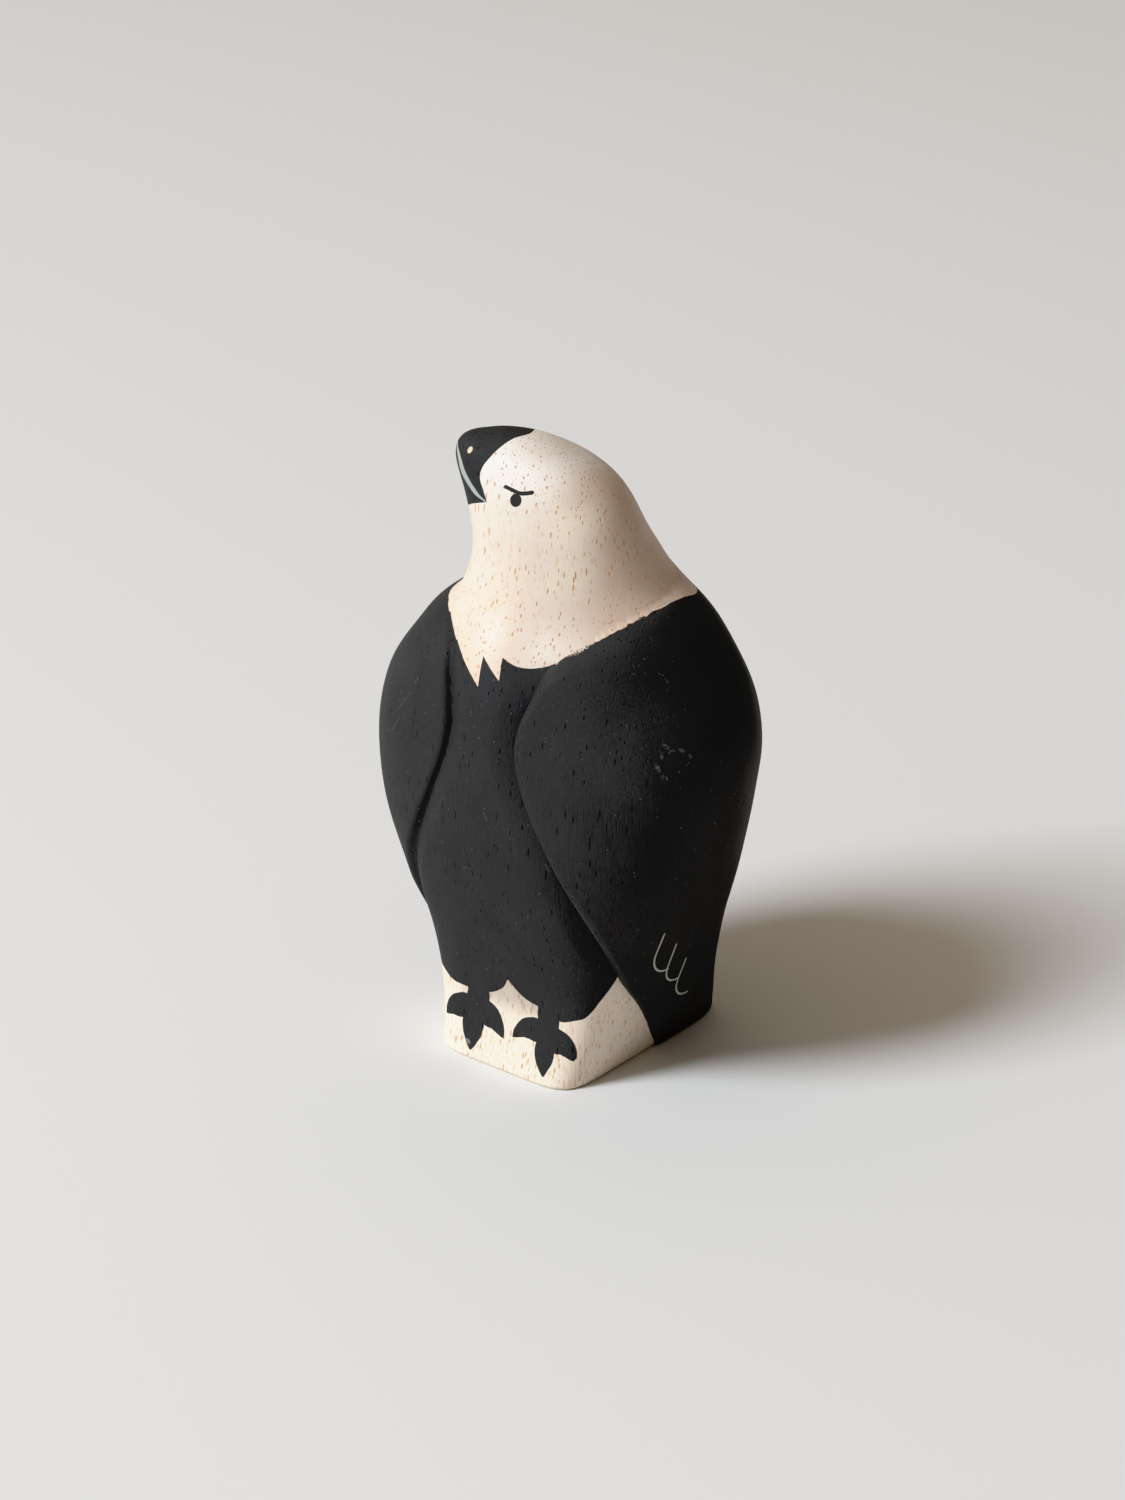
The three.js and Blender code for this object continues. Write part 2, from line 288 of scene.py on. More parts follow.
def ease(value, start, end):
    """0 before start, 1 after end, and three times the square less twice the cube of the way between."""
    way = np.clip((value - start) / (end - start), 0, 1)
    return way * way * (3 - 2 * way)


def superellipse(angle, half_width, half_depth, squareness, taper=0.0):
    """Distance from the centre to the edge, where the sum of both reaches, each over its half size and
    raised to the squareness, is 1. The taper narrows the side that the angle is measured from."""
    width = half_width * (1 - taper * np.cos(angle))
    across = np.abs(np.sin(angle) / width) ** squareness
    along = np.abs(np.cos(angle) / half_depth) ** squareness
    return (across + along) ** (-1 / squareness)


def ring_heights():
    """Heights of the rings: close together round the bottom edge, where they rise by one less the
    cosine of an even angle, even up the body, and over the crown by the sine of an even angle."""
    foot = FOOT_ROUND * (1 - np.cos(np.linspace(0, np.pi / 2, FOOT_RINGS, endpoint=False)))
    body = np.linspace(FOOT_ROUND, HEIGHT - CROWN, BODY_RINGS, endpoint=False)
    crown = HEIGHT - CROWN + CROWN * np.sin(np.linspace(0, np.pi / 2, CROWN_RINGS, endpoint=False))
    return np.concatenate([foot, body, crown])


def column_angles(edge):
    """Angles of the columns for each ring's wing edge angle, from minus half a turn to half a turn. The
    breast's columns spread out from its middle and the wings' from the middle of the back, both by one
    less a power of what is left to go, so that they crowd at the wings' front edges."""
    breast = np.linspace(-1, 1, BREAST_COLUMNS, endpoint=False)
    breast = np.sign(breast) * (1 - (1 - np.abs(breast)) ** EDGE_CROWDING)
    wings = np.linspace(-1, 1, 2 * WING_COLUMNS, endpoint=False)
    wings = np.sign(wings) * (1 - (1 - np.abs(wings)) ** EDGE_CROWDING)
    back = np.pi + wings * (np.pi - edge)
    back = np.where(back > np.pi, back - 2 * np.pi, back)
    return np.hstack([breast * edge, back])


def hand_waver(points, amount, seed):
    """How far a hand-worked surface stands off its template at each point: a sum of slow waves that run
    in random directions with random phases, scaled to the amount at its root mean square."""
    draw = np.random.default_rng(seed)
    waves = 36
    direction = draw.normal(size=(waves, 3))
    direction /= np.linalg.norm(direction, axis=1)[:, None]
    length = draw.uniform(6, 16, waves)
    phase = draw.uniform(0, 2 * np.pi, waves)
    along = points @ (direction * (2 * np.pi / length)[:, None]).T + phase
    return amount * np.sqrt(2 / waves) * np.sin(along).sum(axis=-1)


def carved_surface(shape):
    """The carving as a grid of points, one row for each height, and how far past the wing's front edge
    each point lies. A section is a superellipse round the spine, turned with the head. Past the edge it
    moves out to a wider, unturned superellipse by a quarter round, which eases into the shoulder, and
    before the edge the breast is cut back by a power of how near the edge is. The right wing reaches
    further forward, with a sharper edge and a crease of its own. At the shoulders the neck flares out
    towards the wider superellipse, which fades out higher up at the nape than at the breast."""
    height = ring_heights()[:, None]
    rise = np.clip((height - (HEIGHT - CROWN)) / CROWN, 0, 1)
    closing = np.sqrt(1 - rise * rise)
    front = through(FRONT_REACH, height)
    rear = through(BACK_REACH, height)
    half_depth = (front + rear) / 2 * closing
    forward = (front - rear) / 2
    half_width = through(BODY_HALF_WIDTH, height) * closing**RIDGE
    turn = np.radians(HEAD_TURN) * ease(height, *HEAD_TURNS_BETWEEN)
    taper = BEAK_TAPER * ease(height, *BEAK_TAPERS_BETWEEN)
    edge = np.radians(through(WING_EDGE, height))
    lift = np.clip(1 - height / FOOT_ROUND, 0, 1)
    inset = FOOT_ROUND * (1 - np.sqrt(1 - lift * lift))

    limit = np.where(height < FLANK_TOP, FLANK_LIMIT, SHOULDER_LIMIT)
    angle = column_angles(np.minimum(edge, np.radians(limit)))
    right = angle < 0
    edge_round = shape.edge_round / MM * np.where(right, RIGHT_EDGE_SHARE, 1)
    edge_round = edge_round + (SHOULDER_ROUND - edge_round) * ease(height, *SHOULDER_BETWEEN)
    left_crease = 1 - ease(height, *LEFT_CREASE_FADES_BETWEEN)
    right_crease = through(RIGHT_CREASE_SHARE, height) * (1 - ease(height, *RIGHT_CREASE_FADES_BETWEEN))
    crease = shape.crease_depth / MM * np.where(right, right_crease, left_crease)
    crease = crease * ease(height, *CREASE_GROWS_BETWEEN)
    body = superellipse(angle + turn, half_width, half_depth, through(BODY_SQUARENESS, height), taper)
    wing = superellipse(angle, through(WING_HALF_WIDTH, height), half_depth, through(WING_SQUARENESS, height))
    past = np.abs(angle) - edge + np.where(right, np.radians(through(RIGHT_WING_FORWARD, height)), 0)
    near = np.clip(1 + np.minimum(past, 0) * body / (shape.crease_width / MM), 0, 1)
    radius = body - crease * near**CREASE_BEND
    nape = ease(-np.cos(angle + turn), *-np.cos(np.radians(NAPE_ANGLES)))
    wings_end = WINGS_END_AT_BREAST + (WINGS_END_AT_NAPE - WINGS_END_AT_BREAST) * nape
    hold = 1 - ease(height, WINGS_FADE_FROM, wings_end)
    flare = NECK_FLARE * ease(height, *NECK_FLARES_BETWEEN)
    flare = flare * ease(np.abs(angle), *np.radians(NECK_FLARE_ANGLES))
    radius = radius + (wing - radius) * flare * hold
    across = np.clip(past * wing / edge_round, 0, 1)
    step = np.sqrt(1 - (1 - across) ** 3) * hold
    radius = radius + (wing - radius) * step - inset

    def placed(reach):
        """Points at this reach from the spine."""
        x = reach * np.sin(angle) - forward * np.sin(turn)
        y = -SPINE_FORWARD - reach * np.cos(angle) - forward * np.cos(turn)
        return np.stack([x, y, np.broadcast_to(height, x.shape)], axis=-1)

    settled = ease(height, 1, 6) * ease(closing, 0.05, 0.4)
    radius = radius + hand_waver(placed(radius), shape.hand_waver / MM, 11) * settled
    return placed(radius), past * wing


def closed_skin(grid, foot, crown):
    """Corners and faces of the closed skin: fans of triangles on the underside and the crown, and
    squares between each pair of rings."""
    rings, columns = grid.shape[:2]
    column = np.arange(columns)
    beside = (column + 1) % columns
    low = np.arange(rings - 1)[:, None] * columns
    squares = np.stack([low + column, low + beside, low + columns + beside, low + columns + column], axis=-1)
    top = (rings - 1) * columns
    count = rings * columns
    under = np.stack([np.full(columns, count), beside, column], axis=-1)
    over = np.stack([np.full(columns, count + 1), top + column, top + beside], axis=-1)
    corners = np.vstack([grid.reshape(-1, 3), foot, crown])
    faces = under.tolist() + squares.reshape(-1, 4).tolist() + over.tolist()
    return corners, faces


class Reading:
    """A number at every point of a surface, so that node maths can be written as arithmetic."""

    def __init__(self, tree, socket):
        self.tree = tree
        self.socket = socket

    def maths(self, operation, *others, clamp=False):
        """What one math node makes of this and the others."""
        node = self.tree.nodes.new("ShaderNodeMath")
        node.operation = operation
        node.use_clamp = clamp
        for place, value in enumerate((self, *others)):
            if isinstance(value, Reading):
                self.tree.links.new(value.socket, node.inputs[place])
            else:
                node.inputs[place].default_value = value
        return Reading(self.tree, node.outputs[0])

    def __add__(self, other):
        return self.maths("ADD", other)

    def __sub__(self, other):
        return self.maths("SUBTRACT", other)

    def __mul__(self, other):
        return self.maths("MULTIPLY", other)

    def __truediv__(self, other):
        return self.maths("DIVIDE", other)

    def __neg__(self):
        return self.maths("MULTIPLY", -1.0)

    def size(self):
        return self.maths("ABSOLUTE")

    def least(self, other):
        return self.maths("MINIMUM", other)

    def most(self, other):
        return self.maths("MAXIMUM", other)

    def length(self, other):
        """The distance whose two sides are this and the other."""
        return (self * self + other * other).maths("SQRT")

    def slope(self, start, end):
        """0 where this is at the start, 1 where it is at the end, even between them and level beyond."""
        return (self / (end - start)).maths("ADD", start / (start - end), clamp=True)

    def inside(self, softness=0.05):
        """1 where this is above nought, 0 where it is below, and an even slope as wide as the softness."""
        return (self / softness).maths("ADD", 0.5, clamp=True)

    def curve(self, points):
        """Reads this along a smooth line through points. A point may end with VECTOR for a sharp corner."""
        node = self.tree.nodes.new("ShaderNodeFloatCurve")
        mapping = node.mapping
        mapping.use_clip = False
        mapping.extend = "HORIZONTAL"
        line = mapping.curves[0]
        line.points[0].location = points[0][:2]
        line.points[1].location = points[-1][:2]
        for point in points[1:-1]:
            line.points.new(*point[:2])
        for corner, point in zip(line.points, points):
            corner.handle_type = point[2] if len(point) > 2 else "AUTO"
        mapping.update()
        self.tree.links.new(self.socket, node.inputs["Value"])
        return Reading(self.tree, node.outputs[0])


class Surface:
    """The places that the material reads, in millimetres, and the textures laid on them."""

    def __init__(self, tree):
        self.tree = tree
        place = tree.nodes.new("ShaderNodeTexCoord")
        scaled = tree.nodes.new("ShaderNodeVectorMath")
        scaled.operation = "SCALE"
        scaled.inputs["Scale"].default_value = 1 / MM
        tree.links.new(place.outputs["Object"], scaled.inputs[0])
        parts = tree.nodes.new("ShaderNodeSeparateXYZ")
        tree.links.new(scaled.outputs[0], parts.inputs[0])
        self.place = scaled.outputs[0]
        self.x, self.y, self.z = (Reading(tree, socket) for socket in parts.outputs)
        layer = tree.nodes.new("ShaderNodeAttribute")
        layer.attribute_name = WING_LAYER
        self.past_edge = Reading(tree, layer.outputs["Fac"])
        # Degrees round the spine, then distances ahead and out to the side along the turned head
        forward = self.y + SPINE_FORWARD
        self.around = self.x.maths("ARCTAN2", -forward) * float(np.degrees(1))
        turn = np.radians(HEAD_TURN)
        self.ahead = -(self.x * float(np.sin(turn)) + forward * float(np.cos(turn)))
        self.out = self.x * float(np.cos(turn)) - forward * float(np.sin(turn))
        self.seen_height = self.z * HEAD_VIEW_UP - self.out.size() * HEAD_VIEW_OUT

    def stretched(self, x, y, z, offset=(0.0, 0.0, 0.0)):
        """The place measured in cells of these three sizes."""
        node = self.tree.nodes.new("ShaderNodeMapping")
        node.inputs["Scale"].default_value = (1 / x, 1 / y, 1 / z)
        node.inputs["Location"].default_value = offset
        self.tree.links.new(self.place, node.inputs["Vector"])
        return node.outputs[0]

    def noise(self, cell, detail=2.0, offset=(0.0, 0.0, 0.0)):
        """Soft noise about nought, between -1 and 1."""
        node = self.tree.nodes.new("ShaderNodeTexNoise")
        node.inputs["Scale"].default_value = 1.0
        node.inputs["Detail"].default_value = detail
        self.tree.links.new(self.stretched(*cell, offset), node.inputs["Vector"])
        return Reading(self.tree, node.outputs["Fac"]) * 2.0 - 1.0

    def seeds(self, cell, offset=(0.0, 0.0, 0.0)):
        """Distance to the nearest of randomly strewn points, in cells, and a random number for each."""
        node = self.tree.nodes.new("ShaderNodeTexVoronoi")
        node.inputs["Scale"].default_value = 1.0
        self.tree.links.new(self.stretched(*cell, offset), node.inputs["Vector"])
        parts = self.tree.nodes.new("ShaderNodeSeparateColor")
        self.tree.links.new(node.outputs["Color"], parts.inputs[0])
        return Reading(self.tree, node.outputs["Distance"]), Reading(self.tree, parts.outputs[0])

    def blend(self, start, end, amount):
        """The colour that goes from start to end by the amount. Each is a plain colour or a socket."""
        node = self.tree.nodes.new("ShaderNodeMix")
        node.data_type = "RGBA"
        for place, value in (("A", start), ("B", end)):
            socket = next(item for item in node.inputs if item.name == place and item.type == "RGBA")
            if isinstance(value, bpy.types.NodeSocket):
                self.tree.links.new(value, socket)
            else:
                socket.default_value = (*value, 1)
        self.tree.links.new(amount.socket, node.inputs["Factor"])
        return next(item for item in node.outputs if item.type == "RGBA")


def oval(across, up, half_width, half_height, lean):
    """How far inside an oval about nought a point lies, in millimetres at its edge. The lean is degrees."""
    cosine = float(np.cos(np.radians(lean)))
    sine = float(np.sin(np.radians(lean)))
    reach = ((across * cosine + up * sine) / half_width).length((up * cosine - across * sine) / half_height)
    return (-reach + 1.0) * min(half_width, half_height)


def head_oval(surface, ahead, up, half_width, half_height, lean):
    """An oval on either side of the head."""
    return oval(surface.ahead - ahead, surface.seen_height - up, half_width, half_height, lean)


def spots(surface, rows, radius):
    """Rubbed or soiled spots, soft at their edges, from 0 where there are none to 1. Each row is degrees
    round, height, half length, half width and lean, on a surface that far from the spine."""
    marks = None
    for degrees, height, half_length, half_width, lean in rows:
        across = (surface.around - degrees) * (radius * float(np.radians(1)))
        mark = oval(across, surface.z - height, half_length, half_width, lean)
        mark = (mark / half_width).most(0.0)
        marks = mark if marks is None else marks.most(mark)
    return (marks * 2.2).least(1.0)


def beak_paint(surface):
    """Dark paint on the beak: ahead of its curved back edge, whose tip lies a little over the top of the
    head, and above its straight foot."""
    over_top = (-surface.out).most(0.0).least(BEAK_TIP_REACH) * surface.z.slope(*BEAK_TIP_BETWEEN)
    ahead = surface.ahead - (surface.seen_height + over_top * (2 * HEAD_VIEW_OUT)).curve(BEAK_BACK)
    return ahead.least(surface.seen_height - BEAK_FOOT)


def mouth_line(surface):
    """The pale line of the mouth, along a bow from the beak's foot up to its tip."""
    half_width = surface.seen_height.curve(MOUTH_HALF_WIDTH)
    return half_width - (surface.ahead - surface.seen_height.curve(MOUTH)).size() * MOUTH_SLANT


def brow_line(surface):
    """The dark brow over the eye, with rounded ends."""
    bow = (surface.seen_height - surface.ahead.curve(BROW)).size()
    middle = (BROW[0][0] + BROW[-1][0]) / 2
    half_length = (BROW[-1][0] - BROW[0][0]) / 2
    beyond = ((surface.ahead - middle).size() - half_length).most(0.0)
    return -(bow.length(beyond)) + BROW_HALF_WIDTH


def collar_paint(surface):
    """The body's paint, below the collar, whose edge wavers a little and is frayed in two places."""
    lean = surface.around + (surface.z - COLLAR_MIDDLE) * COLLAR_SHEAR
    beyond = ((lean - COLLAR_POINTS_MIDDLE).size() - COLLAR_POINTS_REACH).inside(0.5)
    points = lean.curve(COLLAR_POINTS)
    edge = points + (lean.curve(COLLAR) - points) * beyond
    waver = surface.noise((0.8, 0.8, 0.8)) * 0.06
    first, second = ((surface.around - degrees).size().slope(reach, 0.0) for degrees, reach in FRAYS)
    fray = surface.noise((0.22, 0.22, 0.3)) * first.most(second) * 0.42
    return edge + waver + fray - surface.z


def foot_outline(middle, outline):
    """An outline as degrees round its middle and distance from it, from minus half a turn to half a turn."""
    away = np.array(outline) - middle
    degrees = np.degrees(np.arctan2(away[:, 1], away[:, 0]))
    reach = np.hypot(away[:, 0], away[:, 1])
    order = np.argsort(degrees)
    degrees = degrees[order]
    reach = reach[order]
    rows = [(degrees[-1] - 360, reach[-1])] + list(zip(degrees, reach)) + [(degrees[0] + 360, reach[0])]
    return [(float(at), float(size), "VECTOR") for at, size in rows]


def foot_paint(surface, middle, outline, leg):
    """A painted foot: what lies within its outline, and the leg between it and the breast's paint."""
    across = surface.x - middle[0]
    up = surface.z - middle[1]
    degrees = up.maths("ARCTAN2", across) * float(np.degrees(1))
    foot = degrees.curve(foot_outline(middle, outline)) - across.length(up)
    shin = -(surface.x - sum(leg) / 2).size() + (leg[1] - leg[0]) / 2
    shin = shin.least(up).least(-surface.z + LEG_TOP)
    return foot.most(shin)


def body_paint(surface):
    """Dark paint on the breast down to its hem, on the wings down to the ground, and on the feet."""
    hem = surface.z - surface.around.curve(BREAST_HEM)
    feet = foot_paint(surface, RIGHT_FOOT, RIGHT_FOOT_OUTLINE, RIGHT_LEG)
    feet = feet.most(foot_paint(surface, LEFT_FOOT, LEFT_FOOT_OUTLINE, LEFT_LEG))
    feet = feet.least(-surface.y - FRONT_FACE)
    waver = surface.noise((0.7, 0.7, 0.7), 2.0, (9.0, 0.0, 0.0)) * 0.05
    return hem.most(surface.past_edge).most(feet) + waver


def feather_mark(surface, back, top):
    """One hooked mark: a line straight down that turns backwards through a quarter circle."""
    along = surface.y - back
    below = -surface.z + top
    line = along.length((-below).most(0.0))
    hook = ((along - MARK_TURN).length(below - MARK_DROP) - MARK_TURN).size()
    past_end = (along - MARK_TURN).most(0.0)
    hook = hook.length(past_end)
    turned = (below - MARK_DROP).inside(0.01)
    return -(line + (hook - line) * turned) + MARK_HALF_WIDTH


def bare_wood(surface, paint, pores, grain, collar):
    """Colour of the bare wood: its warm parts, its pores and lines, what soils it, and painted light and
    shade: a warmer, darker side turned from the lamp, paler lit places, and darker shaded places.
    """
    blend = surface.blend
    open_pore, chance, fine_pore = pores
    in_front = surface.y.slope(-3.0, -6.0)

    # Painted shade: warmer and darker towards its left and back, the side turned from the lamp, more so above
    # the
    #     # base; also warmer low on the neck in front, and by random patches and grain
    warmth_and_shade = (surface.x + surface.y * 0.6).slope(-3.0, 6.0) * (surface.z / 55.0 - 0.05).least(0.9)
    low_neck = surface.z.curve(WARM_NECK) * surface.x.slope(5.0, 1.0) * in_front
    warmth_and_shade = warmth_and_shade + low_neck + surface.noise(CLOUD_CELL) * 0.3 + grain * 0.4 + 0.08
    wood = blend(paint.wood_colour, paint.shade_and_warm_wood_colour, warmth_and_shade)

    # Painted light: paler on the crown and forehead, where the lamp's highlight falls, and on the left cheek
    # and the
    #     # base, where more light reaches them
    crown = surface.z.curve(CROWN_HIGHLIGHT) * surface.x.slope(5.0, 2.5) * surface.y.slope(3.0, 0.0)
    wood = blend(wood, paint.crown_highlight_colour, crown)
    cheek = (surface.x - 5.8).size().slope(3.38, 0.78) * (surface.z - 67.5).size().slope(6.25, 3.75)
    wood = blend(wood, paint.painted_light_wood_colour, cheek * in_front * 0.85)
    wood = blend(wood, paint.painted_light_wood_colour, (-surface.z + BASE_TOP).inside() * 0.9)

    # Lines show most on the base
    lines = surface.noise(LINE_CELL, 2.0, (5.0, 2.0, 1.0)).slope(0.14, 0.34)
    at_base = (-surface.z / 8.0 + 2.4).most(0.5).least(2.2)
    wood = blend(wood, paint.pore_colour, lines * at_base * 0.24)
    wood = blend(wood, paint.pore_colour, fine_pore * 0.5)
    wood = blend(wood, paint.pore_colour, open_pore * (chance * 0.4 + 0.55))

    # Painted shade low on the neck at its left, above the shoulder's flare, and painted shadow under the hem
    # between
    #     # the feet, where the breast overhangs; real soiled spots, and lines scored by sanding
    above_base = (surface.z - NECK_FOOT).inside()
    neck_shade = surface.z.slope(64.0, 60.0) * surface.x.slope(5.0, 8.0) * surface.x.slope(12.5, 10.5)
    hem_shadow = surface.z.slope(7.6, 10.0) * surface.x.size().slope(8.0, 6.0)
    hem_shadow = hem_shadow * (-surface.z + 15.0).inside() * (-surface.y - FRONT_FACE).inside()
    above_collar = -collar
    middle = sum(SANDED_BETWEEN) / 2
    reach = (SANDED_BETWEEN[1] - SANDED_BETWEEN[0]) / 2
    sanded = (above_collar * 11.0 + grain * 2.0).maths("SINE").most(0.0) * above_collar.slope(2.0, 0.0)
    sanded = sanded * (surface.around - middle).size().slope(reach, reach - 4.0)
    soiled_and_shaded = (neck_shade * 0.75).most(sanded * 0.9) * above_base
    soiled_and_shaded = soiled_and_shaded.most(spots(surface, SMUDGES, SMUDGE_RADIUS) * 0.75).most(hem_shadow * 1.5)
    return blend(wood, paint.soil_and_shade_colour, soiled_and_shaded * 0.3)


def dark_paint(surface, paint, tick, streaks):
    """Colour of the dark paint: brushed and sanded lightly, with dust and rubbed places on it, painted shade
    in its pits and a painted highlight along the left wing's front edge.
    """
    blend = surface.blend
    speckle = surface.noise(SPECKLE_CELL, 3.0, (6.0, 1.0, 2.0))
    patches = surface.noise(PATCH_CELL, 3.0, (4.0, 4.0, 4.0))
    rubbed = streaks * 0.45 + speckle * 0.3 + patches * 0.35 + 0.4
    black = blend(paint.dark_colour, paint.worn_colour, rubbed)
    reach, chance = surface.seeds(DUST_CELL, (2.0, 8.0, 5.0))
    dust = (-reach + (chance - 0.62) * 0.4).inside(0.06)
    black = blend(black, paint.dust_and_highlight_colour, dust * 0.25)
    # Painted shade: the pores that show through the paint are darkened as the shade inside them
    black = blend(black, paint.pit_shade_colour, tick * 0.5)
    scuffs = spots(surface, SCUFFS, SCUFF_RADIUS) * (speckle * 0.6 + 0.12).most(0.03)
    black = blend(black, paint.dust_and_highlight_colour, scuffs)

    # Painted highlight: a pale line low along the left wing's front edge, where its rounded edge catches the
    # light
    edge_highlight = (-(surface.past_edge - 0.2).size() + 0.16).inside(0.2) * (surface.z - 27.0).size().slope(7.8, 4.8)
    edge_highlight = edge_highlight * (surface.x - 6.0).inside() * (streaks + 0.6).most(0.0)
    black = blend(black, paint.dust_and_highlight_colour, edge_highlight * 0.16)
    chip = oval(surface.x - TOE_CHIP[0], surface.z - TOE_CHIP[1], *TOE_CHIP[2:])
    chip = (chip + speckle * 0.3).inside(0.1) * (-surface.y - FRONT_FACE).inside()
    return blend(black, paint.dust_and_highlight_colour, chip * 0.6)


def painted_wood(paint):
    """Pale open-pored wood with dark matt paint, its fine lines, its wear, and light and shade painted
    into its colour, as one material.
    """
    material = bpy.data.materials.new("painted_wood")
    material.use_nodes = True
    tree = material.node_tree
    shader = tree.nodes["Principled BSDF"]
    surface = Surface(tree)

    # Pores: strewn upright seeds of which the surface shows a slice. Some show through the paint.
    reach, chance = surface.seeds(OPEN_PORE_CELL)
    open_pore = (reach / (chance * 0.17 + 0.13)).slope(1.0, 0.6)
    reach, fine_chance = surface.seeds(FINE_PORE_CELL, (3.0, 5.0, 7.0))
    fine_pore = (reach / (fine_chance * 0.2 + 0.15)).slope(1.0, 0.5)
    tick = open_pore * chance.slope(0.6, 0.7667)
    grain = surface.noise(GRAIN_CELL, 4.0)
    streaks = surface.noise(STREAK_CELL, 4.0, (1.0, 2.0, 3.0))

    collar = collar_paint(surface)
    beak = beak_paint(surface)
    face = head_oval(surface, *EYE).most(brow_line(surface))
    painted = beak.most(collar.least(body_paint(surface))).most(face).inside()
    beak = beak.inside()
    mouth = mouth_line(surface).inside() * beak
    nostril = head_oval(surface, *NOSTRIL).inside() * beak
    marks = feather_mark(surface, *FEATHER_MARKS[0])
    for mark in FEATHER_MARKS[1:]:
        marks = marks.most(feather_mark(surface, *mark))
    marks = marks.inside() * (surface.x.size() - 8.0).inside()

    wood = bare_wood(surface, paint, (open_pore, chance, fine_pore), grain, collar)
    black = dark_paint(surface, paint, tick, streaks)
    colour = surface.blend(wood, black, painted)
    colour = surface.blend(colour, paint.mouth_colour, mouth)
    colour = surface.blend(colour, paint.nostril_colour, nostril)
    colour = surface.blend(colour, paint.mark_colour, marks)
    tree.links.new(colour, shader.inputs["Base Color"])

    roughness = painted * (paint.dark_roughness - paint.wood_roughness) + paint.wood_roughness
    roughness = roughness + streaks * 0.04
    tree.links.new(roughness.socket, shader.inputs["Roughness"])
    specular = painted * (paint.dark_specular - paint.wood_specular) + paint.wood_specular
    tree.links.new(specular.socket, shader.inputs["Specular IOR Level"])

    pits = (open_pore + (tick + fine_pore * 0.4 - open_pore) * painted) * -paint.pore_depth / MM
    relief = pits + grain * GRAIN_RELIEF + painted * (streaks * STREAK_RELIEF + PAINT_THICKNESS)
    bump = tree.nodes.new("ShaderNodeBump")
    bump.inputs["Strength"].default_value = 1.0
    bump.inputs["Distance"].default_value = MM
    tree.links.new(relief.socket, bump.inputs["Height"])
    tree.links.new(bump.outputs[0], shader.inputs["Normal"])
    return material


class EagleShape(bpy.types.PropertyGroup):
    """Sizes of the carving that can be changed without changing its outline."""

    edge_round: bpy.props.FloatProperty(
        name="Wing edge", description="Distance over which a wing's front edge is rounded",
        default=1.4 * MM, min=0.5 * MM, max=6 * MM, unit="LENGTH", precision=5,
    )
    crease_depth: bpy.props.FloatProperty(
        name="Crease depth", description="How deep the breast is cut back at a wing's front edge",
        default=0.7 * MM, min=0, max=2 * MM, unit="LENGTH", precision=5,
    )
    crease_width: bpy.props.FloatProperty(
        name="Crease width", description="How far from a wing's front edge the cut starts",
        default=3.2 * MM, min=1 * MM, max=9 * MM, unit="LENGTH", precision=5,
    )
    hand_waver: bpy.props.FloatProperty(
        name="Hand waver", description="Unevenness that knife and sandpaper leave",
        default=0.035 * MM, min=0, max=0.2 * MM, unit="LENGTH", precision=6,
    )


